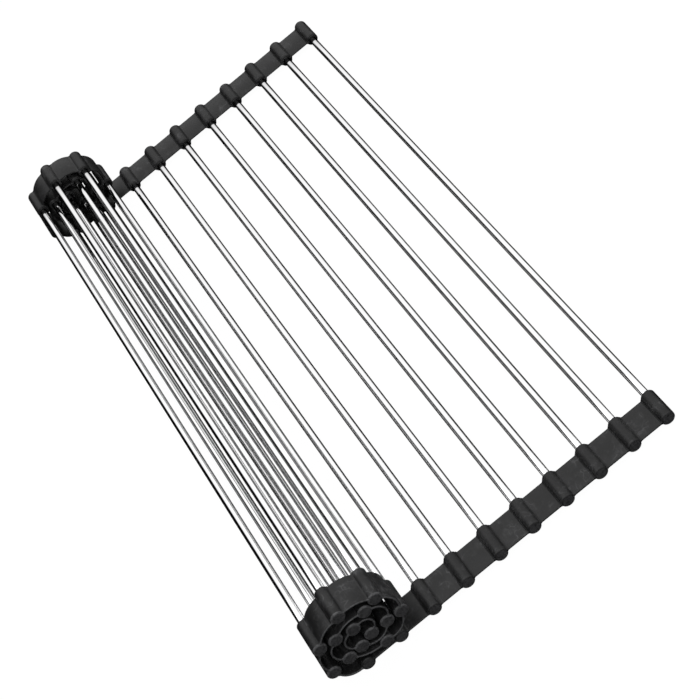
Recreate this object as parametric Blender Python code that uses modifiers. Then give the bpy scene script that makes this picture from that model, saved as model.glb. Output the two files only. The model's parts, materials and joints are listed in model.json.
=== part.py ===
"""Roll up dish drying rack.

Steel tubes lie side by side. Each tube end sits in a blind rubber sleeve, and thin rubber webs join the
sleeves of each side into one strip. The webs bend, so the rack rolls up: here one end is wound into a loose
coil and the other lies flat on the worktop.

X runs along the strips towards the flat end, Y along the tubes, Z up. The origin is at the middle of the
footprint, on the worktop. Every web is a hinge along Y, so each rod (a tube and its two sleeves) has an empty
on the axis of the hinge that joins it to the rod before it.
"""
import math

import bmesh
import bpy
import numpy as np
from mathutils import Matrix, Vector

# Tubes, in metres
TUBE_RADIUS = 0.0021
TUBE_WALL = 0.0004
EXPOSED_LENGTH = 0.3990
TUBE_FIT = 0.0003
TUBE_END_FIT = 0.0005

# Sleeves
SLEEVE_RADIUS = 0.00375
SLEEVE_LENGTH = 0.0205
SLEEVE_END_WALL = 0.0030
SLEEVE_RIM = 0.0008
LIP_RADIUS = 0.0028
LIP_LENGTH = 0.0018

# Webs
WEB_LENGTH = 0.0125
WEB_THICKNESS = 0.0011
WEB_OUTER_INSET = 0.0006
WEB_INNER_INSET = 0.0005
WEB_FILLET = 0.0004
WEB_FILLET_LENGTH = 0.0014
WEB_GAP = 0.0003

# Counts
ROD_COUNT = 23
FLAT_ROD_COUNT = 10
SEPARATE_TUBE_COUNT = 14
ROUND_SIDES = 12
ARC_STEP_DEGREES = 20

# The coil: the bend of each web in degrees, from the innermost web outwards
COIL_BENDS = (152, 133, 88, 109, 51, 105, 40, 74, 67, 47, 48, 53, 73)
COIL_GAP = 0.0002
COIL_SAMPLE = 0.0010
COIL_NEAR_SHARE = 0.9

# How far each flat web bends when the flat end is rolled up, from the coil to the free end
ROLL_UP_BENDS = (2, 46, 46, 42, 34, 24, 24, 20, 25)

# Worked out from the sizes above
PITCH = WEB_LENGTH + 2 * SLEEVE_RADIUS
HALF_TURN = math.pi / ROUND_SIDES
SLEEVE_FLAT_HEIGHT = SLEEVE_RADIUS * math.cos(HALF_TURN)
POCKET_RADIUS = TUBE_RADIUS + TUBE_FIT
TUBE_INSERT = SLEEVE_LENGTH - SLEEVE_END_WALL - TUBE_END_FIT
NEAR, FAR = -1, 1

RUBBER_COLOUR = (0.015, 0.015, 0.016, 1.0)
STEEL_COLOUR = (0.80, 0.80, 0.81, 1.0)


def clear_scene():
    for old in list(bpy.data.objects):
        bpy.data.objects.remove(old, do_unlink=True)


def new_collection(name):
    collection = bpy.data.collections.new(name)
    bpy.context.scene.collection.children.link(collection)
    return collection


def new_material(name, colour, roughness, metallic):
    material = bpy.data.materials.new(name)
    material.use_nodes = True
    shader = material.node_tree.nodes["Principled BSDF"]
    shader.inputs["Base Color"].default_value = colour
    shader.inputs["Roughness"].default_value = roughness
    shader.inputs["Metallic"].default_value = metallic
    material.diffuse_color = colour
    return material


# The strip seen from its end. A frame is where a sleeve's centre is and how far it is turned, in the X Z plane.

def turned(point, angle):
    x, z = point
    return np.array((x * math.cos(angle) - z * math.sin(angle), x * math.sin(angle) + z * math.cos(angle)))


def web_point(distance, bend):
    """The point at a distance along a web's middle, from the end of its sleeve's side."""
    if bend == 0:
        return np.array((SLEEVE_RADIUS + distance, 0.0))
    radius = WEB_LENGTH / bend
    angle = distance / radius
    return np.array((SLEEVE_RADIUS + radius * math.sin(angle), radius * (1 - math.cos(angle))))


def next_frame(frame, bend):
    """The frame of the sleeve on the +X side of this one, past a web that bends up by this angle."""
    centre, angle = frame
    step = web_point(WEB_LENGTH, bend) + turned((SLEEVE_RADIUS, 0.0), bend)
    return centre + turned(step, angle), angle + bend


def hinge_point(bend):
    """The pivot that takes a web from flat to its bend with both sleeves where the bent web puts them."""
    half = WEB_LENGTH / 2
    return np.array((SLEEVE_RADIUS + half, WEB_LENGTH / bend - half / math.tan(bend / 2)))


def strip_points(frame, bend, start):
    """Points along a web and at the next sleeve's centre: x, z, half thickness, distance along the strip."""
    centre, angle = frame
    rows = []
    for distance in np.linspace(0, WEB_LENGTH, max(3, math.ceil(WEB_LENGTH / COIL_SAMPLE))):
        x, z = centre + turned(web_point(distance, bend), angle)
        rows.append((x, z, WEB_THICKNESS / 2, start + SLEEVE_RADIUS + distance))
    x, z = next_frame(frame, bend)[0]
    rows.append((x, z, SLEEVE_RADIUS, start + PITCH))
    return np.array(rows)


def is_clear(new, old):
    """True if the new stretch of strip keeps the coil's gap to the old one."""
    apart = np.hypot(new[:, None, 0] - old[None, :, 0], new[:, None, 1] - old[None, :, 1])
    gap = apart - new[:, None, 2] - old[None, :, 2]
    far_along = np.abs(new[:, None, 3] - old[None, :, 3]) > COIL_NEAR_SHARE * PITCH
    return not np.any(far_along & (gap < COIL_GAP))


def wind_coil():
    """Wind the strip from the innermost sleeve out, and let each web bend as far as its wraps allow."""
    frame = (np.zeros(2), 0.0)
    strip = np.array([(0.0, 0.0, SLEEVE_RADIUS, 0.0)])
    bends = []
    for index, wanted in enumerate(COIL_BENDS):
        last = index == len(COIL_BENDS) - 1
        for degrees in range(wanted, 0, -1):
            bend = math.radians(degrees)
            new = strip_points(frame, bend, index * PITCH)
            if last:
                new = np.vstack([new, flat_points(next_frame(frame, bend), (index + 1) * PITCH)])
            if is_clear(new, strip):
                break
        strip = np.vstack([strip, new])
        frame = next_frame(frame, bend)
        bends.append(bend)
    return bends


def flat_points(frame, start):
    """The flat stretch that the coil stands on."""
    rows = []
    for index in range(FLAT_ROD_COUNT - 1):
        rows.append(strip_points(frame, 0, start + index * PITCH))
        frame = next_frame(frame, 0)
    return np.vstack(rows)


def sleeve_frames(coil_bends):
    """Each rod's frame, numbered from the free flat end, with the first coil rod's neighbour level."""
    frames = {ROD_COUNT: (np.zeros(2), 0.0)}
    for index, bend in enumerate(coil_bends):
        rod = ROD_COUNT - index
        frames[rod - 1] = next_frame(frames[rod], bend)
    for rod in range(FLAT_ROD_COUNT, 1, -1):
        frames[rod - 1] = next_frame(frames[rod], 0)
    base_centre, base_angle = frames[FLAT_ROD_COUNT]
    level = {}
    for rod, (centre, angle) in frames.items():
        level[rod] = (turned(centre - base_centre, -base_angle), angle - base_angle)
    return level


def place_frames(frames, bends):
    """Move the frames so that the footprint's middle is at X 0 and the flat sleeves stand on Z 0."""
    low = min(centre[0] for centre, angle in frames.values()) - SLEEVE_RADIUS
    for rod, bend in bends.items():
        if bend > 0:
            centre, angle = frames[rod]
            x = strip_points((centre, angle), bend, 0)[:, 0].min() - WEB_THICKNESS / 2
            low = min(low, x)
    high = frames[1][0][0] + SLEEVE_RADIUS
    shift = np.array((-(low + high) / 2, SLEEVE_FLAT_HEIGHT))
    return {rod: (centre + shift, angle) for rod, (centre, angle) in frames.items()}


# Solids in a rod's own frame: the tube's axis is Y, and the flat strip would run along X

def turned_solid(name, profile, closed):
    """A mesh turned about Y from points of radius and height, given down the outer side."""
    mesh = bpy.data.meshes.new(name)
    vertices = [(radius, 0.0, height) for radius, height in profile]
    edges = [(index, index + 1) for index in range(len(profile) - 1)]
    if closed:
        edges.append((len(profile) - 1, 0))
    mesh.from_pydata(vertices, edges, [])
    blank = bpy.data.objects.new(name, mesh)
    bpy.context.scene.collection.objects.link(blank)
    screw = blank.modifiers.new("turn", "SCREW")
    screw.axis = "Z"
    screw.steps = ROUND_SIDES
    screw.render_steps = ROUND_SIDES
    screw.use_merge_vertices = True
    screw.merge_threshold = TUBE_FIT / 100
    blank.rotation_euler = (0, 0, HALF_TURN)
    return take_mesh(blank, Matrix.Rotation(-math.pi / 2, 4, "X"))


def take_mesh(blank, extra=Matrix.Identity(4)):
    """The evaluated mesh of a helper object, with its place in it. The helper is removed."""
    bpy.context.view_layer.update()
    seen = blank.evaluated_get(bpy.context.evaluated_depsgraph_get())
    mesh = bpy.data.meshes.new_from_object(seen)
    mesh.transform(extra @ blank.matrix_world)
    bpy.data.objects.remove(blank, do_unlink=True)
    shape = bmesh.new()
    shape.from_mesh(mesh)
    bmesh.ops.remove_doubles(shape, verts=shape.verts, dist=TUBE_FIT / 100)
    bmesh.ops.recalc_face_normals(shape, faces=shape.faces)
    shape.to_mesh(mesh)
    shape.free()
    return mesh


def united(name, meshes):
    """One mesh from several that overlap."""
    blank = bpy.data.objects.new(name, meshes[0])
    bpy.context.scene.collection.objects.link(blank)
    others = []
    for mesh in meshes[1:]:
        other = bpy.data.objects.new(name + "_add", mesh)
        bpy.context.scene.collection.objects.link(other)
        union = blank.modifiers.new("union", "BOOLEAN")
        union.operation = "UNION"
        union.object = other
        others.append(other)
    result = take_mesh(blank)
    for other in others:
        bpy.data.objects.remove(other, do_unlink=True)
    return result


def sleeve_mesh(has_pocket):
    """A sleeve with its closed end at the low side of its axis and its lip at the high side."""
    top = SLEEVE_LENGTH
    profile = [(LIP_RADIUS, top), (SLEEVE_RADIUS, top - LIP_LENGTH)]
    profile += [(SLEEVE_RADIUS, SLEEVE_RIM), (SLEEVE_RADIUS - SLEEVE_RIM, 0.0), (0.0, 0.0)]
    if has_pocket:
        profile = [(0.0, SLEEVE_END_WALL), (POCKET_RADIUS, SLEEVE_END_WALL), (POCKET_RADIUS, top)] + profile
    else:
        profile = [(0.0, top)] + profile
    return turned_solid("sleeve", profile, False)


def tube_mesh(low, high):
    bore = TUBE_RADIUS - TUBE_WALL
    profile = [(TUBE_RADIUS, high), (TUBE_RADIUS, low), (bore, low), (bore, high)]
    return turned_solid("tube", profile, True)


def half_web_mesh(bend, side):
    """Half of a web, from inside the sleeve's wall to the hinge, on the +X or -X side of the sleeve."""
    end = (WEB_LENGTH - WEB_GAP) / 2
    steps = max(1, math.ceil(math.degrees(bend) / 2 / ARC_STEP_DEGREES))
    distances = [WEB_FILLET_LENGTH + (end - WEB_FILLET_LENGTH) * index / steps for index in range(steps + 1)]
    root = (POCKET_RADIUS + SLEEVE_RADIUS) / 2
    thick = WEB_THICKNESS / 2 + WEB_FILLET
    upper, lower = [(root, thick)], [(root, -thick)]
    for distance in [0.0] + distances:
        middle = web_point(distance, bend)
        half = thick if distance == 0 else WEB_THICKNESS / 2
        across = turned((0.0, half), bend * distance / WEB_LENGTH)
        upper.append(tuple(middle + across))
        lower.append(tuple(middle - across))
    outline = [(side * x, z) for x, z in upper + lower[::-1]]
    curve = bpy.data.curves.new("half_web", "CURVE")
    curve.dimensions = "2D"
    curve.fill_mode = "BOTH"
    curve.extrude = (SLEEVE_LENGTH - WEB_OUTER_INSET - WEB_INNER_INSET - LIP_LENGTH) / 2
    spline = curve.splines.new("POLY")
    spline.points.add(len(outline) - 1)
    for point, (x, z) in zip(spline.points, outline):
        point.co = (x, z, 0.0, 1.0)
    spline.use_cyclic_u = True
    blank = bpy.data.objects.new("half_web", curve)
    bpy.context.scene.collection.objects.link(blank)
    blank.rotation_euler = (math.pi / 2, 0, 0)
    blank.location = (0, WEB_OUTER_INSET + curve.extrude, 0)
    return take_mesh(blank)


def link_mesh(right_bend, left_bend, has_pocket, tube):
    """A sleeve with the near half of the web on each side of it, its closed end at Y 0."""
    solids = [sleeve_mesh(has_pocket)]
    for bend, side in ((right_bend, 1), (left_bend, -1)):
        if bend is not None:
            solids.append(half_web_mesh(bend, side))
    if tube:
        low = SLEEVE_LENGTH / 2
        high = SLEEVE_LENGTH + EXPOSED_LENGTH + TUBE_INSERT
        solids.append(tube_mesh(low, high))
    return united("link", solids)


def mirrored(mesh):
    """The mirror image in Y of a mesh, with its faces pointing out."""
    copy = mesh.copy()
    copy.transform(Matrix.Diagonal((1, -1, 1, 1)))
    copy.flip_normals()
    return copy


def finished(mesh, *materials):
    mesh.materials.clear()
    for material in materials:
        mesh.materials.append(material)
    mesh.shade_smooth()
    mesh.set_sharp_from_angle(angle=math.radians(40))
    return mesh


def finished_link(mesh, rubber, steel, is_fused):
    """A finished link, with its second material on the tube where one is fused into it."""
    if not is_fused:
        return finished(mesh, rubber)
    finished(mesh, rubber, steel)
    for face in mesh.polygons:
        x, y, z = face.center
        if y > SLEEVE_LENGTH / 2 and math.hypot(x, z) < TUBE_RADIUS:
            face.material_index = 1
    return mesh


# The rods

def web_bends(coil_bends):
    """The rest bend of the web between each rod and the one before it, by the higher rod's number."""
    bends = {rod: 0.0 for rod in range(2, FLAT_ROD_COUNT + 1)}
    for index, bend in enumerate(coil_bends):
        bends[ROD_COUNT - index] = bend
    return bends


def add_axis(name, rod, frames, pivots, parents, collection):
    """An empty on the hinge that joins a rod to the rod before it, under that rod's own empty."""
    axis = bpy.data.objects.new(name, None)
    axis.empty_display_size = SLEEVE_RADIUS
    collection.objects.link(axis)
    point, angle = pivots[rod], frames[rod][1]
    parent = parents.get(rod)
    if parent is None:
        axis.location = (point[0], 0, point[1])
        axis.rotation_euler = (0, -angle, 0)
    else:
        base_point, base_angle = pivots[parent[1]], frames[parent[1]][1]
        offset = turned(point - base_point, -base_angle)
        axis.parent = parent[0]
        axis.location = (offset[0], 0, offset[1])
        axis.rotation_euler = (0, base_angle - angle, 0)
    return axis


def hinge_points(frames, bends):
    """The hinge of every rod but the root's, which stays where its sleeve is."""
    pivots = {FLAT_ROD_COUNT: frames[FLAT_ROD_COUNT][0]}
    for rod in range(FLAT_ROD_COUNT + 1, ROD_COUNT + 1):
        centre, angle = frames[rod - 1]
        x, z = hinge_point(bends[rod])
        pivots[rod] = centre + turned((-x, z), angle)
    for index, degrees in enumerate(ROLL_UP_BENDS):
        rod = FLAT_ROD_COUNT - 1 - index
        centre, angle = frames[rod + 1]
        pivots[rod] = centre + turned(hinge_point(math.radians(degrees)), angle)
    return pivots


def place_piece(name, mesh, rod, y, axes, frames, pivots, collection):
    """An object under its rod's empty, whose own frame is the sleeve's."""
    piece = bpy.data.objects.new(name, mesh)
    collection.objects.link(piece)
    centre, angle = frames[rod]
    offset = turned(centre - pivots[rod], -angle)
    piece.parent = axes[rod]
    piece.location = (offset[0], y, offset[1])
    return piece


def add_axes(frames, pivots, collection):
    """The chain of empties: from the root out to the coil's middle, and from the root out to the free end."""
    axes = {}
    outwards = list(range(FLAT_ROD_COUNT, ROD_COUNT + 1)) + list(range(FLAT_ROD_COUNT - 1, 0, -1))
    for rod in outwards:
        before = rod - 1 if rod > FLAT_ROD_COUNT else rod + 1
        parents = {} if rod == FLAT_ROD_COUNT else {rod: (axes[before], before)}
        axes[rod] = add_axis(f"axis_{rod:02d}", rod, frames, pivots, parents, collection)
    return axes


def build_rack():
    rack = new_collection("roll_up_dish_rack")
    rubber = new_material("black_rubber", RUBBER_COLOUR, 0.55, 0.0)
    steel = new_material("polished_steel", STEEL_COLOUR, 0.18, 1.0)

    coil_bends = wind_coil()
    bends = web_bends(coil_bends)
    frames = place_frames(sleeve_frames(coil_bends), bends)
    pivots = hinge_points(frames, bends)
    axes = add_axes(frames, pivots, rack)

    end = EXPOSED_LENGTH / 2 + SLEEVE_LENGTH
    half_tube = EXPOSED_LENGTH / 2 + TUBE_INSERT
    tube = finished(tube_mesh(-half_tube, half_tube), steel)
    links = {}
    for rod in range(1, ROD_COUNT + 1):
        sides = (bends.get(rod), bends.get(rod + 1))
        for is_fused in (False, True):
            key = sides + (is_fused,)
            if key not in links:
                links[key] = finished_link(link_mesh_for(sides, is_fused), rubber, steel, is_fused)
    for rod in range(1, ROD_COUNT + 1):
        sides = (bends.get(rod), bends.get(rod + 1))
        place = (axes, frames, pivots, rack)
        near = links[sides + (False,)]
        place_piece(f"near_link_{rod:02d}", near, rod, -end, *place)
        is_fused = rod > SEPARATE_TUBE_COUNT
        far = mirrored(links[sides + (is_fused,)])
        far_name = "tube_and_far_link" if is_fused else "far_link"
        place_piece(f"{far_name}_{rod:02d}", far, rod, end, *place)
        if not is_fused:
            place_piece(f"tube_{rod:02d}", tube, rod, 0, *place)


def link_mesh_for(sides, is_fused):
    """sides: the bends of the webs towards the free end and towards the coil's middle."""
    right_bend, left_bend = sides
    return link_mesh(right_bend, left_bend, not is_fused, is_fused)


clear_scene()
build_rack()
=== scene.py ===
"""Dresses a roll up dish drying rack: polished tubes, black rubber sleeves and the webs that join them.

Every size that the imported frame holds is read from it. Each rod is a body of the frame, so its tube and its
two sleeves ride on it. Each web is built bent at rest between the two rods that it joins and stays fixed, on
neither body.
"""
import json
import math

import bmesh
import bpy
from mathutils import Matrix, Vector

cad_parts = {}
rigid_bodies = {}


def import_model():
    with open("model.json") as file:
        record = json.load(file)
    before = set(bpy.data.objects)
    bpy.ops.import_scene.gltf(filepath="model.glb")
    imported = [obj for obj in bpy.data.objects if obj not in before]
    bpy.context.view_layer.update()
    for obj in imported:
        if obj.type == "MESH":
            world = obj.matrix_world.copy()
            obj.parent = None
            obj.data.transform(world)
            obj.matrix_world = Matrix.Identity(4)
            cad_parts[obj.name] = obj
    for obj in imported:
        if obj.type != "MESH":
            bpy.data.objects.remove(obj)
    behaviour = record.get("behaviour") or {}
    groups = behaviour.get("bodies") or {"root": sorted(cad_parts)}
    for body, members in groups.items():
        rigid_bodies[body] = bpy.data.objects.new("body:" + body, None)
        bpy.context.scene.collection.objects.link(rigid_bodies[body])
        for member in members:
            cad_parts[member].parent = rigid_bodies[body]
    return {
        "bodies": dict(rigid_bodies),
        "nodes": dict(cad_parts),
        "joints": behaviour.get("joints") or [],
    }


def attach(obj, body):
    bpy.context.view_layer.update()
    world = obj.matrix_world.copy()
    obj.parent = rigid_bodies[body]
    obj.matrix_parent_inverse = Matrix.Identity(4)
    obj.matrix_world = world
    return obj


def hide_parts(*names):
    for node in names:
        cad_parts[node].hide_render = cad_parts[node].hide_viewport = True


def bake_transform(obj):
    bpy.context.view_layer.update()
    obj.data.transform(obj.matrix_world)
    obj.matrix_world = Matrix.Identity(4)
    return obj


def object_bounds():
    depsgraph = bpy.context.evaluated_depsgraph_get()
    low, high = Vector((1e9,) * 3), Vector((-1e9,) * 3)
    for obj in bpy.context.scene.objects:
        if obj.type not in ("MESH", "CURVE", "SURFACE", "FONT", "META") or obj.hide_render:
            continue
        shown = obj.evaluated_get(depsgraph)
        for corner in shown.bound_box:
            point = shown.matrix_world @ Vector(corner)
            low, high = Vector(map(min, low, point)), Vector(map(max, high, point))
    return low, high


bl_info = {
    "name": "Roll Up Dish Rack",
    "version": (1, 0, 0),
    "blender": (4, 5, 0),
    "location": "View3D > Sidebar > Dish Rack",
    "description": "Builds the tubes, rubber sleeves and webs of a roll up dish drying rack",
    "category": "Add Mesh",
}

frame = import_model()
CAD_LOW, CAD_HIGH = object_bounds()

NEAR, FAR = -1, 1
SIDE_NAMES = {NEAR: "near", FAR: "far"}
JOINTS = {joint["child"]: joint for joint in frame["joints"]}
ROD_COUNT = len(frame["bodies"])


def body_of(rod):
    return f"rod_{rod:02d}"


ROOT_ROD = next(rod for rod in range(1, ROD_COUNT + 1) if body_of(rod) not in JOINTS)


def node_of(rod, side):
    """The name of the node that holds a rod's sleeve on one side."""
    name = f"{SIDE_NAMES[side]}_link_{rod:02d}"
    return name if name in frame["nodes"] else f"tube_and_{name}"


def points_of(node):
    return [vertex.co for vertex in frame["nodes"][node].data.vertices]


def middle(values):
    return (min(values) + max(values)) / 2


def across(point, centre):
    """Distance of a point from the line along Y through the centre."""
    return math.hypot(point.x - centre.x, point.z - centre.z)


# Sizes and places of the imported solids

RING_DEPTH = 1e-5


def sleeve_centre(rod):
    """The middle of the ring of points round the closed end of a rod's near sleeve."""
    points = points_of(node_of(rod, NEAR))
    end = min(point.y for point in points)
    ring = [point for point in points if point.y < end + RING_DEPTH]
    return Vector((middle([point.x for point in ring]), 0, middle([point.z for point in ring])))


CENTRES = {rod: sleeve_centre(rod) for rod in range(1, ROD_COUNT + 1)}
FREE_LINK = points_of(node_of(1, NEAR))
TUBE_RADIUS = max(across(point, CENTRES[1]) for point in points_of("tube_01"))
SLEEVE_RADIUS = max(across(point, CENTRES[1]) for point in FREE_LINK if point.x > CENTRES[1].x)
SLEEVE_LENGTH = max(point.y for point in FREE_LINK) - min(point.y for point in FREE_LINK)
PITCH = CENTRES[1].x - CENTRES[2].x
WEB_LENGTH = PITCH - 2 * SLEEVE_RADIUS
STRIP_END = CAD_HIGH.y
FLOOR_Z = CENTRES[1].z - SLEEVE_RADIUS


def rest_bend(rod):
    """The bend at rest of the web between a rod and the one before it, in radians."""
    if rod <= ROOT_ROD:
        return 0.0
    return math.radians(JOINTS[body_of(rod)]["range_deg"][1])


def rod_turn(rod):
    """How far a rod is turned at rest, by the right-hand rule about Y."""
    return sum(rest_bend(before) for before in range(ROOT_ROD + 1, rod + 1))


# Settings

class RubberSettings(bpy.types.PropertyGroup):
    open_trim: bpy.props.FloatProperty(
        name="Open trim", description="How much shorter than its solid a sleeve is at its open end",
        default=0.0007, unit="LENGTH")
    slide: bpy.props.FloatProperty(
        name="Slide", description="How far the roll has crept along its tubes, towards the near side",
        default=0.0015, unit="LENGTH")
    rim: bpy.props.FloatProperty(
        name="Rim", description="Rounding of a sleeve's closed end", default=0.0010, unit="LENGTH")
    lip: bpy.props.FloatProperty(
        name="Lip", description="Rounding of a sleeve's open end", default=0.0008, unit="LENGTH")
    web_thickness: bpy.props.FloatProperty(
        name="Web thickness", description="Thickness of a web", default=0.0011, unit="LENGTH")
    web_outer_inset: bpy.props.FloatProperty(
        name="Outer inset", description="From a sleeve's closed end to its web", default=0.0001,
        unit="LENGTH")
    web_inner_inset: bpy.props.FloatProperty(
        name="Inner inset", description="From a sleeve's open end to its web", default=0.0004, unit="LENGTH")
    web_corner: bpy.props.FloatProperty(
        name="Corner", description="Rounding of a web's inner edge where it meets a sleeve", default=0.0006,
        unit="LENGTH")
    fillet: bpy.props.FloatProperty(
        name="Fillet", description="Rounding between a web's faces and its sleeves", default=0.0004,
        unit="LENGTH")
    colour: bpy.props.FloatVectorProperty(
        name="Rubber", description="Colour of the rubber", default=(0.0068, 0.0068, 0.0071), subtype="COLOR")
    smudge_colour: bpy.props.FloatVectorProperty(
        name="Smudges", description="Colour of the dull smudges on the rubber", default=(0.085, 0.085, 0.088),
        subtype="COLOR")
    # The lighter colour below is painted light: a painted highlight on sleeve rims and web edges, and painted
    # light on the sleeves' end faces.
    painted_light_colour: bpy.props.FloatVectorProperty(
        name="Worn edges", description="Colour of the rubber where its edges are rubbed",
        default=(0.075, 0.075, 0.078), subtype="COLOR")
    roughness: bpy.props.FloatProperty(
        name="Roughness", description="Least roughness of the rubber", default=0.40, subtype="FACTOR")


class SteelSettings(bpy.types.PropertyGroup):
    wall: bpy.props.FloatProperty(
        name="Wall", description="Wall of a tube", default=0.0004, unit="LENGTH")
    cover: bpy.props.FloatProperty(
        name="Cover", description="Length of tube inside a sleeve", default=0.0163, unit="LENGTH")
    colour: bpy.props.FloatVectorProperty(
        name="Steel", description="Colour of the polished steel", default=(0.97, 0.97, 0.975),
        subtype="COLOR")
    edge_tint: bpy.props.FloatVectorProperty(
        name="Edge tint", description="Tint of the steel where it is seen at a low angle",
        default=(0.0, 0.0, 0.0), subtype="COLOR")
    roughness: bpy.props.FloatProperty(
        name="Roughness", description="Least roughness of the steel", default=0.015, subtype="FACTOR")


class StageSettings(bpy.types.PropertyGroup):
    floor_colour: bpy.props.FloatVectorProperty(
        name="Floor", description="Colour of the floor", default=(0.07, 0.07, 0.07), subtype="COLOR")
    floor_shown: bpy.props.FloatProperty(
        name="Floor glow", description="Share of plain white in the floor that the eye sees", default=0.5,
        subtype="FACTOR")
    floor_mirrored: bpy.props.FloatProperty(
        name="Mirrored floor", description="Strength of the floor's white where metal mirrors it",
        default=0.015)
    floor_white: bpy.props.FloatProperty(
        name="Floor white", description="Strength of the floor's plain white", default=1.95)
    sky: bpy.props.FloatProperty(
        name="Sky", description="Strength of the light from all round", default=1.06)
    left_flag_side: bpy.props.FloatProperty(
        name="Left flag side", description="Where the dark flag on the left begins, as a slope",
        default=0.345)
    left_flag_top: bpy.props.FloatProperty(
        name="Left flag top", description="Height of the dark flag on the left, as a slope", default=0.58)
    left_flag_light: bpy.props.FloatProperty(
        name="Left flag light", description="Brightness of the flag on the left", default=0.0,
        subtype="FACTOR")
    right_flag_side: bpy.props.FloatProperty(
        name="Right flag side", description="Where the grey flag on the right begins, as a slope",
        default=0.45)
    right_flag_top: bpy.props.FloatProperty(
        name="Right flag top", description="Height of the grey flag on the right, as a slope", default=0.16)
    right_flag_light: bpy.props.FloatProperty(
        name="Right flag light", description="Brightness of the flag on the right", default=0.12,
        subtype="FACTOR")
    key_power: bpy.props.FloatProperty(
        name="Key", description="Power of the large lamp above", default=3.0, unit="POWER")
    front_power: bpy.props.FloatProperty(
        name="Front", description="Power of the lamp beside the camera", default=2.5, unit="POWER")


class CameraSettings(bpy.types.PropertyGroup):
    target_x: bpy.props.FloatProperty(
        name="Target X", description="Where the camera's axis meets the worktop", default=-0.0005,
        unit="LENGTH")
    target_y: bpy.props.FloatProperty(
        name="Target Y", description="Where the camera's axis meets the worktop", default=-0.0371,
        unit="LENGTH")
    distance: bpy.props.FloatProperty(
        name="Distance", description="From the camera to where its axis meets the worktop", default=1.1540,
        unit="LENGTH")
    heading: bpy.props.FloatProperty(
        name="Heading", description="Turn of the view about the vertical, from straight along the tubes",
        default=math.radians(2.08), subtype="ANGLE")
    elevation: bpy.props.FloatProperty(
        name="Elevation", description="How steeply the camera looks down", default=math.radians(41.54),
        subtype="ANGLE")
    roll: bpy.props.FloatProperty(
        name="Roll", description="Turn of the camera about its own axis", default=math.radians(-40.86),
        subtype="ANGLE")
    focal_pixels: bpy.props.FloatProperty(
        name="Focal length", description="Focal length in pixels of a 700 pixel picture", default=2182.3)


def settings(name):
    return getattr(bpy.context.scene, name)


# Shader maths

class Socket:
    """A shader socket that adds Math nodes when it is used in an expression."""

    def __init__(self, tree, socket):
        self.tree = tree
        self.socket = socket

    def maths(self, operation, *values):
        return self.tree.node("ShaderNodeMath", {"operation": operation}, list(values)).out("Value")

    def __add__(self, other):
        return self.maths("ADD", self, other)

    __radd__ = __add__

    def __mul__(self, other):
        return self.maths("MULTIPLY", self, other)

    __rmul__ = __mul__

    def __sub__(self, other):
        return self.maths("SUBTRACT", self, other)

    def __rsub__(self, other):
        return self.maths("SUBTRACT", other, self)

    def __truediv__(self, other):
        return self.maths("DIVIDE", self, other)

    def clamped(self):
        return self.maths("MINIMUM", self.maths("MAXIMUM", self, 0.0), 1.0)

    def rising(self, start, end):
        """0 below the start, 1 above the end, and straight between them."""
        return ((self - start) / (end - start)).clamped()


class Node:
    """A shader node, whose outputs come as Sockets."""

    def __init__(self, tree, node):
        self.tree = tree
        self.node = node

    def out(self, name):
        return Socket(self.tree, self.node.outputs[name])


class Tree:
    """A material's or the world's node tree, emptied."""

    def __init__(self, owner):
        owner.use_nodes = True
        self.nodes = owner.node_tree.nodes
        self.links = owner.node_tree.links
        self.nodes.clear()

    def node(self, kind, options, inputs):
        """A node of this type, with its settings, then the values or links of its sockets."""
        made = self.nodes.new(kind)
        for name, value in options.items():
            setattr(made, name, value)
        pairs = inputs.items() if isinstance(inputs, dict) else enumerate(inputs)
        for key, value in pairs:
            if isinstance(value, Socket):
                self.links.new(value.socket, made.inputs[key])
            else:
                made.inputs[key].default_value = value
        return Node(self, made)

    def output(self, kind, surface):
        self.node(kind, {}, {"Surface": surface})


# A Mix node's sockets for numbers, vectors and colours share their names, so its colours go by number.
FIRST_COLOUR = 6
SECOND_COLOUR = 7
MIXED_COLOUR = 2


def mixed(tree, mask, first, second):
    """Between two colours by a mask."""
    inputs = {"Factor": mask, FIRST_COLOUR: first, SECOND_COLOUR: second}
    return tree.node("ShaderNodeMix", {"data_type": "RGBA"}, inputs).out(MIXED_COLOUR)


def rgba(colour):
    return (*colour, 1.0)


SEED_SPREAD = 40.0


class Speckle:
    """Noise in a piece's own coordinates, with a different pattern on each piece."""

    def __init__(self, tree):
        self.tree = tree
        self.place = tree.node("ShaderNodeTexCoord", {}, {}).out("Object")
        self.seed = tree.node("ShaderNodeObjectInfo", {}, {}).out("Random") * SEED_SPREAD

    def stretched(self, scales):
        inputs = [self.place, scales]
        return self.tree.node("ShaderNodeVectorMath", {"operation": "MULTIPLY"}, inputs).out("Vector")

    def noise(self, scale=1.0, detail=2.0, roughness=0.5, stretch=None):
        """Noise about 0.5. A larger scale makes it finer, and stretch scales each axis by itself."""
        place = self.stretched(stretch) if stretch else self.place
        inputs = {"Vector": place, "W": self.seed, "Scale": scale, "Detail": detail, "Roughness": roughness}
        return self.tree.node("ShaderNodeTexNoise", {"noise_dimensions": "4D"}, inputs).out("Fac")


# Materials

RUBBER_NAME = "black_silicone"
RUBBER_IOR = 1.36
# This vertex layer holds painted light: how strongly each vertex shows the lighter colour of painted
# highlights and lit end faces.
PAINTED_LIGHT_LAYER = "lightened"


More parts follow.
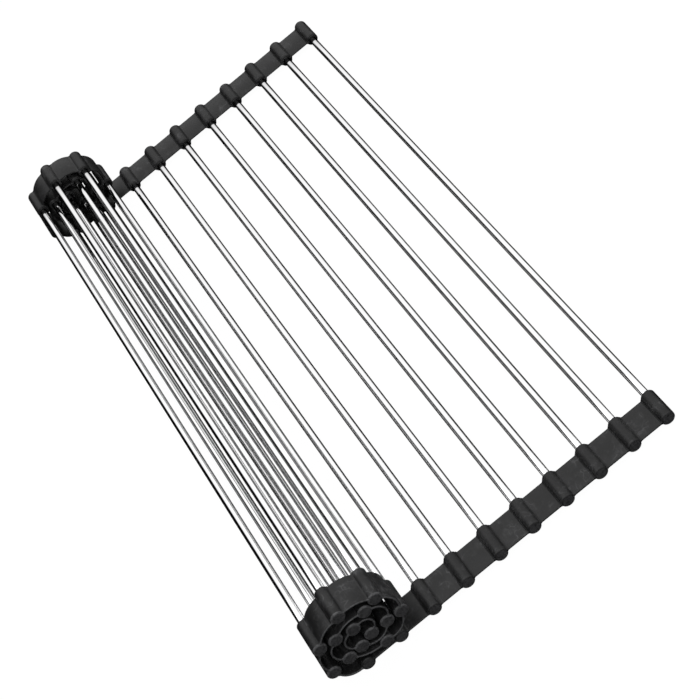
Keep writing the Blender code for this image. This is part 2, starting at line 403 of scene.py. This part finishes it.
def rubber_dust(speckle):
    """Where dull smudges lie: clouds that hold streaks, dabs and thin scuffs."""
    cloud = speckle.noise(scale=95.0, detail=3.0, roughness=0.6).rising(0.48, 0.70)
    streak = speckle.noise(detail=3.0, roughness=0.6, stretch=(520.0, 150.0, 520.0)).rising(0.52, 0.72)
    dab = speckle.noise(scale=430.0).rising(0.64, 0.76)
    contour = speckle.noise(scale=170.0, detail=1.5)
    scuff = contour.rising(0.480, 0.495) * (1 - contour.rising(0.505, 0.530))
    return (cloud * (streak * 0.45 + dab * 0.5 + scuff * 0.5 + 0.10)).clamped()


def rubber_painted_light(tree, speckle):
    """Where painted light lies, in patches: a painted highlight on the rims and the webs' outer edges, and
    painted light on the sleeves' end faces.
    """
    lightened = tree.node("ShaderNodeAttribute", {"attribute_name": PAINTED_LIGHT_LAYER}, {}).out("Fac")
    return (lightened * speckle.noise(scale=900.0).rising(0.20, 0.60)).clamped()


def rubber_bump(tree, speckle):
    """The mould's faint pebble on slight waves."""
    pebble = speckle.noise(scale=5200.0)
    waves = speckle.noise(scale=230.0)
    inputs = {"Strength": 0.16, "Distance": 0.0004, "Height": pebble * 0.35 + waves * 0.65}
    return tree.node("ShaderNodeBump", {}, inputs).out("Normal")


def rubber_material():
    """Moulded black silicone: satin, with dull smudges and fine dust, plus a lighter colour painted on:
    painted highlight on rims and web edges, painted light on the sleeves' end faces.
    """
    rubber = settings("rack_rubber")
    material = bpy.data.materials.new(RUBBER_NAME)
    tree = Tree(material)
    speckle = Speckle(tree)
    smudge = rubber_dust(speckle)
    speck = speckle.noise(scale=2400.0, detail=1.0, roughness=0.4).rising(0.70, 0.78)
    dust = (smudge + speck * 0.12).clamped()
    dull = mixed(tree, dust, rgba(rubber.colour), rgba(rubber.smudge_colour))
    # Painted highlight and painted light: the lighter colour laid over the rubber on rims, web edges and end
    # faces.
    colour = mixed(tree, rubber_painted_light(tree, speckle), dull, rgba(rubber.painted_light_colour))
    sheen = speckle.noise(scale=140.0, detail=3.0)
    shader = tree.node("ShaderNodeBsdfPrincipled", {}, {
        "Base Color": colour,
        "Roughness": (sheen * 0.14 + smudge * 0.12 + rubber.roughness).clamped(),
        "Normal": rubber_bump(tree, speckle),
        "IOR": RUBBER_IOR})
    tree.output("ShaderNodeOutputMaterial", shader.out("BSDF"))
    return material


def shared_rubber():
    """The one rubber of all sleeves and webs."""
    return bpy.data.materials.get(RUBBER_NAME) or rubber_material()


HAZE_SHADE = 0.96


def steel_material():
    """Polished stainless tube: a mirror that sways a little, with faint drawing lines along it."""
    steel = settings("rack_steel")
    material = bpy.data.materials.new("polished_steel")
    tree = Tree(material)
    speckle = Speckle(tree)
    lines = speckle.noise(detail=3.0, roughness=0.6, stretch=(9000.0, 14.0, 9000.0))
    haze = speckle.noise(scale=45.0)
    sway = speckle.noise(detail=0.0, stretch=(60.0, 8.0, 60.0))
    bump = tree.node("ShaderNodeBump", {}, {"Strength": 0.6, "Distance": 0.003, "Height": sway})
    hazy = [part * HAZE_SHADE for part in steel.colour]
    shader = tree.node("ShaderNodeBsdfPrincipled", {}, {
        "Base Color": mixed(tree, haze, rgba(steel.colour), rgba(hazy)),
        "Metallic": 1.0,
        "Roughness": lines * 0.02 + haze * 0.02 + steel.roughness,
        "Normal": bump.out("Normal"),
        "Specular Tint": rgba(steel.edge_tint)})
    tree.output("ShaderNodeOutputMaterial", shader.out("BSDF"))
    return material


# Meshes

def new_piece(name, mesh, material):
    piece = bpy.data.objects.new(name, mesh)
    bpy.context.scene.collection.objects.link(piece)
    if not mesh.materials:
        mesh.materials.append(material)
    return piece


def arc_points(centre, radius, first, last, steps):
    """Points of an arc in the profile's plane, with angles in degrees."""
    points = []
    for step in range(steps + 1):
        angle = math.radians(first + (last - first) * step / steps)
        points.append((centre[0] + radius * math.cos(angle), centre[1] + radius * math.sin(angle)))
    return points


def finished_mesh(shape, name, crease):
    """The mesh of a closed shape, smooth but for edges sharper than the crease, in degrees."""
    bmesh.ops.recalc_face_normals(shape, faces=shape.faces)
    mesh = bpy.data.meshes.new(name)
    shape.to_mesh(mesh)
    shape.free()
    mesh.shade_smooth()
    mesh.set_sharp_from_angle(angle=math.radians(crease))
    return mesh


TURNED_CREASE = 50


def turned_mesh(name, profile, sides, closed=False, lightened=None):
    """A mesh turned about Y from points of radius and Y, with a pole wherever the radius is 0.

    The share of painted light that each row of the profile carries comes from its dictionary argument, by the
    row's number.
    """
    lightened = lightened or {}
    shape = bmesh.new()
    painted_light = shape.verts.layers.float.new(PAINTED_LIGHT_LAYER)
    rings = []
    for index, (radius, y) in enumerate(profile):
        if radius == 0:
            rings.append([shape.verts.new((0, y, 0))] * sides)
            rings[-1][0][painted_light] = lightened.get(index, 0.0)
            continue
        ring = []
        for side in range(sides):
            turn = 2 * math.pi * side / sides
            ring.append(shape.verts.new((radius * math.cos(turn), y, radius * math.sin(turn))))
            ring[-1][painted_light] = lightened.get(index, 0.0)
        rings.append(ring)
    pairs = list(zip(rings, rings[1:]))
    if closed:
        pairs.append((rings[-1], rings[0]))
    for first, second in pairs:
        for side in range(sides):
            corners = [first[side], first[side - 1], second[side - 1], second[side]]
            shape.faces.new(list(dict.fromkeys(corners)))
    return finished_mesh(shape, name, TURNED_CREASE)


SLEEVE_SIDES = 48
SLEEVE_ROWS = 4
RIM_STEPS = 6
FACE_RING_SHARE = 0.45
RIM_RING_SHARE = 1.1
BORE_FIT = 0.00002
POCKET_END_FIT = 0.0003
MOUTH_ROWS = (0.0001, 0.0010)


def sleeve_length():
    return SLEEVE_LENGTH - settings("rack_rubber").open_trim


def sleeve_profile():
    """Down a sleeve from the middle of its closed end, at Y 0, round its lip and into its pocket."""
    rubber = settings("rack_rubber")
    top, rim, lip = sleeve_length(), rubber.rim, rubber.lip
    face_rings = (0.0, SLEEVE_RADIUS * FACE_RING_SHARE, SLEEVE_RADIUS - rim * RIM_RING_SHARE)
    profile = [(radius, 0.0) for radius in face_rings]
    profile += arc_points((SLEEVE_RADIUS - rim, rim), rim, -90, 0, RIM_STEPS)
    for row in range(1, SLEEVE_ROWS):
        profile.append((SLEEVE_RADIUS, rim + (top - lip - rim) * row / SLEEVE_ROWS))
    profile += arc_points((SLEEVE_RADIUS - lip, top - lip), lip, 0, 90, RIM_STEPS)
    bore = TUBE_RADIUS + BORE_FIT
    floor = top - settings("rack_steel").cover - POCKET_END_FIT
    profile += [(bore, top - depth) for depth in MOUTH_ROWS]
    return profile + [(bore, floor), (0.0, floor)]


# A sleeve's profile begins with the rows of its end face, and the rows of its rim follow.
FACE_ROW_COUNT = 4
FACE_ROWS = range(FACE_ROW_COUNT)
RIM_ROWS = range(FACE_ROW_COUNT, FACE_ROW_COUNT + RIM_STEPS - 1)
# Painted light: the end face rows get a lighter colour that stands in for the light they lack, and the rim
# rows get a painted highlight, stronger on the rolled sleeves.
FACE_PAINTED_LIGHT = 0.6
FLAT_RIM_HIGHLIGHT = 0.15
ROLLED_RIM_HIGHLIGHT = 1.0


def sleeve_mesh(name, rim_highlight):
    painted_light = {row: FACE_PAINTED_LIGHT for row in FACE_ROWS} | {row: rim_highlight for row in RIM_ROWS}
    return turned_mesh(name, sleeve_profile(), SLEEVE_SIDES, lightened=painted_light)


TUBE_SIDES = 32
TUBE_ROWS = 12
TUBE_EDGE_SHARE = 0.25


def tube_profile():
    """Along a tube's outside, round its wall and back through its bore."""
    steel = settings("rack_steel")
    radius, bore = TUBE_RADIUS, TUBE_RADIUS - steel.wall
    half = STRIP_END - sleeve_length() + steel.cover
    edge = steel.wall * TUBE_EDGE_SHARE
    outer = [(radius - edge, half), (radius, half - edge)]
    outer += [(radius, half - 2 * half * row / TUBE_ROWS) for row in range(1, TUBE_ROWS)]
    outer += [(radius, -half + edge), (radius - edge, -half), (bore, -half), (bore, half)]
    return outer


def web_point(distance, bend):
    """The middle of a web in its sleeve's frame, at a distance from that sleeve's side, towards -X."""
    if bend == 0 or distance <= 0:
        return Vector((-SLEEVE_RADIUS - distance, 0, 0)), 0.0
    radius = WEB_LENGTH / bend
    angle = min(distance, WEB_LENGTH) / radius
    point = Vector((-SLEEVE_RADIUS - radius * math.sin(angle), 0, radius * (1 - math.cos(angle))))
    past = max(0.0, distance - WEB_LENGTH)
    return point + Vector((-math.cos(angle), 0, math.sin(angle))) * past, angle


WEB_STEPS = 20
WEB_EDGE_STEPS = 4
WEB_EMBED_SHARE = 0.4
WEB_EMBED_STEPS = 4
WEB_CREASE = 60
CORNER_STEPS = 6
CORNER_SPACING_POWER = 1.5
FILLET_REACH = 2


def web_stations():
    """Distances along a web, closer together at its corners, from inside one sleeve to inside the other."""
    rubber = settings("rack_rubber")
    embed = SLEEVE_RADIUS * WEB_EMBED_SHARE
    corner = max(rubber.web_corner, rubber.fillet * FILLET_REACH)
    start = [-embed * (1 - step / WEB_EMBED_STEPS) for step in range(WEB_EMBED_STEPS)]
    start += [corner * (step / CORNER_STEPS) ** CORNER_SPACING_POWER for step in range(CORNER_STEPS)]
    inner = [corner + (WEB_LENGTH - 2 * corner) * step / WEB_STEPS for step in range(WEB_STEPS + 1)]
    return start + inner + [WEB_LENGTH - row for row in reversed(start)]


def web_half_thickness(distance):
    """Half of a web's thickness at a distance along it, with a fillet towards each sleeve."""
    rubber = settings("rack_rubber")
    near = min(distance, WEB_LENGTH - distance)
    flare = max(0.0, 1 - near / (rubber.fillet * FILLET_REACH))
    return rubber.web_thickness / 2 + rubber.fillet * min(1.0, flare) ** 2


def web_corner_reach(distance):
    """How far the web's inner edge reaches out along a sleeve at a distance from its side."""
    corner = settings("rack_rubber").web_corner
    near = min(max(min(distance, WEB_LENGTH - distance), 0.0), corner)
    return corner - math.sqrt(corner ** 2 - (corner - near) ** 2)


def web_mesh(name, bend, side, shift, highlit):
    """A web as a swept strip with rounded edges, in the frame of the sleeve on its +X side.

    The shift along Y takes its other end to the sleeve there. Its outer edge may carry a painted highlight.
    """
    rubber = settings("rack_rubber")
    edge = rubber.web_thickness / 2
    outer = STRIP_END - rubber.web_outer_inset
    inner = STRIP_END - sleeve_length() + rubber.web_inner_inset
    shape = bmesh.new()
    painted_light = shape.verts.layers.float.new(PAINTED_LIGHT_LAYER)
    rings = []
    for distance in web_stations():
        half = web_half_thickness(distance)
        point, angle = web_point(distance, bend)
        up = Vector((math.sin(angle), 0, math.cos(angle)))
        inner_here = inner - web_corner_reach(distance)
        share = min(max(distance / WEB_LENGTH, 0.0), 1.0)
        ring = []
        for centre_y, first in ((outer - edge, -90), (inner_here + edge, 90)):
            for step in range(WEB_EDGE_STEPS + 1):
                turn = math.radians(first + 180 * step / WEB_EDGE_STEPS)
                y = side * (centre_y + edge * math.cos(turn)) + shift * share
                vertex = shape.verts.new(point + up * half * math.sin(turn) + Vector((0, y, 0)))
                # Painted highlight: a lighter colour along the outer edge of the webs in the roll.
                vertex[painted_light] = float(highlit and first < 0 and 0 < step < WEB_EDGE_STEPS)
                ring.append(vertex)
        rings.append(ring)
    count = len(rings[0])
    for first, second in zip(rings, rings[1:]):
        for index in range(count):
            shape.faces.new((first[index], first[index - 1], second[index - 1], second[index]))
    shape.faces.new(rings[0])
    shape.faces.new(rings[-1])
    return finished_mesh(shape, name, WEB_CREASE)


SLIDING_RODS = 3


def slide(rod):
    """Where the middle of a rod lies along Y: the rods of the roll have crept a little."""
    share = min(max(rod - ROOT_ROD, 0) / SLIDING_RODS, 1.0)
    return -settings("rack_rubber").slide * share


def rod_matrix(rod):
    """Where a rod lies at rest, with its own -X side towards the web that leads into the roll."""
    place = CENTRES[rod] + Vector((0, slide(rod), 0))
    return Matrix.Translation(place) @ Matrix.Rotation(rod_turn(rod), 4, "Y")


# Stage

FLOOR_SIZE = 40.0


def add_floor():
    """A pale floor that shows as white but for the rack's shadow."""
    stage = settings("rack_stage")
    bpy.ops.mesh.primitive_plane_add(size=FLOOR_SIZE, location=(0, 0, FLOOR_Z))
    floor = bpy.context.object
    floor.name = "floor"
    material = bpy.data.materials.new("floor")
    tree = Tree(material)
    path = tree.node("ShaderNodeLightPath", {}, {})
    mirrored = (path.out("Is Glossy Ray") + path.out("Is Transmission Ray")).clamped()
    camera = path.out("Is Camera Ray")
    share = camera * stage.floor_shown + mirrored
    strength = camera * stage.floor_white + mirrored * stage.floor_mirrored
    matt = tree.node("ShaderNodeBsdfDiffuse", {}, {"Color": rgba(stage.floor_colour)})
    glow = tree.node("ShaderNodeEmission", {}, {"Strength": strength})
    both = tree.node("ShaderNodeMixShader", {}, [share.clamped(), matt.out("BSDF"), glow.out("Emission")])
    tree.output("ShaderNodeOutputMaterial", both.out("Shader"))
    floor.data.materials.append(material)


FLAG_EDGE = 0.08
WHITE = (1.0, 1.0, 1.0, 1.0)


def flag_shade(outwards, height, begins, top, light):
    """How much light a flag takes away that stands beyond a slope outwards and below one of height."""
    beside = outwards.rising(begins - FLAG_EDGE, begins + FLAG_EDGE)
    below = 1 - height.rising(top - FLAG_EDGE, top + FLAG_EDGE)
    return beside * below * (1 - light)


def add_world():
    """White all round, but for dark flags low down on both sides, which outline what is polished."""
    stage = settings("rack_stage")
    world = bpy.data.worlds.new("studio")
    bpy.context.scene.world = world
    tree = Tree(world)
    place = tree.node("ShaderNodeTexCoord", {}, {}).out("Generated")
    parts = tree.node("ShaderNodeSeparateXYZ", {}, {"Vector": place})
    right, height = parts.out("X"), parts.out("Z")
    left_shade = flag_shade(
        right * -1, height, stage.left_flag_side, stage.left_flag_top, stage.left_flag_light)
    right_shade = flag_shade(
        right, height, stage.right_flag_side, stage.right_flag_top, stage.right_flag_light)
    light = (1 - left_shade - right_shade).clamped()
    lit = tree.node("ShaderNodeBackground", {}, {"Color": WHITE, "Strength": light * stage.sky})
    white = tree.node("ShaderNodeBackground", {}, {"Color": WHITE, "Strength": 1.0})
    camera = tree.node("ShaderNodeLightPath", {}, {}).out("Is Camera Ray")
    both = tree.node("ShaderNodeMixShader", {}, [camera, lit.out("Background"), white.out("Background")])
    tree.output("ShaderNodeOutputWorld", both.out("Shader"))


def add_lamp(name, power, size, place):
    """A square lamp that shines on the middle of the worktop."""
    data = bpy.data.lights.new(name, "AREA")
    data.energy = power
    data.size = size
    lamp = bpy.data.objects.new(name, data)
    lamp.location = place
    lamp.rotation_euler = (-Vector(place)).to_track_quat("-Z", "Y").to_euler()
    bpy.context.scene.collection.objects.link(lamp)


KEY_SIZE = 0.9
KEY_PLACE = (-0.25, 0.2, 1.2)
FRONT_SIZE = 0.5
FRONT_PLACE = (-0.1, -0.9, 1.05)


def add_lamps():
    stage = settings("rack_stage")
    add_lamp("key", stage.key_power, KEY_SIZE, KEY_PLACE)
    add_lamp("front", stage.front_power, FRONT_SIZE, FRONT_PLACE)


SENSOR_WIDTH = 36.0
PICTURE_PIXELS = 700


def add_camera():
    view = settings("rack_camera")
    data = bpy.data.cameras.new("camera")
    data.sensor_width = SENSOR_WIDTH
    data.lens = view.focal_pixels * SENSOR_WIDTH / PICTURE_PIXELS
    camera = bpy.data.objects.new("camera", data)
    bpy.context.scene.collection.objects.link(camera)
    turn = (Matrix.Rotation(view.heading, 4, "Z")
            @ Matrix.Rotation(math.pi / 2 - view.elevation, 4, "X")
            @ Matrix.Rotation(view.roll, 4, "Z"))
    target = Matrix.Translation((view.target_x, view.target_y, 0))
    camera.matrix_world = target @ turn @ Matrix.Translation((0, 0, view.distance))
    bpy.context.scene.camera = camera


# Operators

class TubesOperator(bpy.types.Operator):
    """Add the polished tubes"""

    bl_idname = "dish_rack.tubes"
    bl_label = "Tubes"

    def execute(self, context):
        mesh = turned_mesh("tube", tube_profile(), TUBE_SIDES, closed=True)
        material = steel_material()
        for rod in range(1, ROD_COUNT + 1):
            piece = new_piece(f"steel_tube_{rod:02d}", mesh, material)
            piece.matrix_world = rod_matrix(rod)
            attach(piece, body_of(rod))
            node = f"tube_{rod:02d}"
            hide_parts(node if node in frame["nodes"] else node_of(rod, FAR))
        return {"FINISHED"}


class SleevesOperator(bpy.types.Operator):
    """Add the rubber sleeves over the tube ends"""

    bl_idname = "dish_rack.sleeves"
    bl_label = "Sleeves"

    def execute(self, context):
        # The rolled sleeves carry a stronger painted highlight on their rims than the flat ones.
        flat_mesh = sleeve_mesh("sleeve", FLAT_RIM_HIGHLIGHT)
        highlit = sleeve_mesh("highlit_sleeve", ROLLED_RIM_HIGHLIGHT)
        material = shared_rubber()
        for rod in range(1, ROD_COUNT + 1):
            mesh = highlit if rod > ROOT_ROD else flat_mesh
            for side in (NEAR, FAR):
                piece = new_piece(f"{SIDE_NAMES[side]}_sleeve_{rod:02d}", mesh, material)
                outwards = Matrix.Rotation(math.pi * (side == FAR), 4, "Z")
                to_end = Matrix.Translation((0, side * STRIP_END, 0))
                piece.matrix_world = rod_matrix(rod) @ to_end @ outwards
                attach(piece, body_of(rod))
                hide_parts(node_of(rod, side))
        return {"FINISHED"}


class WebsOperator(bpy.types.Operator):
    """Add the thin webs that join the sleeves"""

    bl_idname = "dish_rack.webs"
    bl_label = "Webs"

    def execute(self, context):
        material = shared_rubber()
        for rod in range(2, ROD_COUNT + 1):
            shift = slide(rod) - slide(rod - 1)
            for side in (NEAR, FAR):
                name = f"{SIDE_NAMES[side]}_web_{rod:02d}"
                # The webs in the roll carry a painted highlight on their outer edge.
                mesh = web_mesh(name, rest_bend(rod), side, shift, highlit=rod > ROOT_ROD)
                piece = new_piece(name, mesh, material)
                piece.matrix_world = rod_matrix(rod - 1)
                start = rod_matrix(rod - 1) @ Vector((-SLEEVE_RADIUS, 0, 0))
                end = rod_matrix(rod) @ Vector((SLEEVE_RADIUS, 0, 0))
                end.y = start.y
                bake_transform(piece)
        return {"FINISHED"}


class StageOperator(bpy.types.Operator):
    """Add the floor, the light and the camera"""

    bl_idname = "dish_rack.stage"
    bl_label = "Stage"

    def execute(self, context):
        add_floor()
        add_world()
        add_lamps()
        add_camera()
        return {"FINISHED"}


# Sidebar and registration

class RackPanel(bpy.types.Panel):
    bl_idname = "VIEW3D_PT_dish_rack"
    bl_label = "Dish Rack"
    bl_space_type = "VIEW_3D"
    bl_region_type = "UI"
    bl_category = "Dish Rack"

    def draw(self, context):
        for operator in OPERATORS:
            self.layout.operator(operator.bl_idname)
        for name, group in GROUPS.items():
            box = self.layout.box()
            for key in group.__annotations__:
                box.prop(getattr(context.scene, name), key)


GROUPS = {"rack_rubber": RubberSettings, "rack_steel": SteelSettings, "rack_stage": StageSettings,
          "rack_camera": CameraSettings}
OPERATORS = [TubesOperator, SleevesOperator, WebsOperator, StageOperator]


def register():
    for group in [*GROUPS.values(), *OPERATORS, RackPanel]:
        bpy.utils.register_class(group)
    for name, group in GROUPS.items():
        setattr(bpy.types.Scene, name, bpy.props.PointerProperty(type=group))


def unregister():
    for name in GROUPS:
        delattr(bpy.types.Scene, name)
    for group in [RackPanel, *OPERATORS, *GROUPS.values()]:
        bpy.utils.unregister_class(group)


def main():
    register()
    bpy.context.scene.view_settings.view_transform = "Standard"
    bpy.ops.dish_rack.tubes()
    bpy.ops.dish_rack.sleeves()
    bpy.ops.dish_rack.webs()
    bpy.ops.dish_rack.stage()


if __name__ == "__main__":
    main()
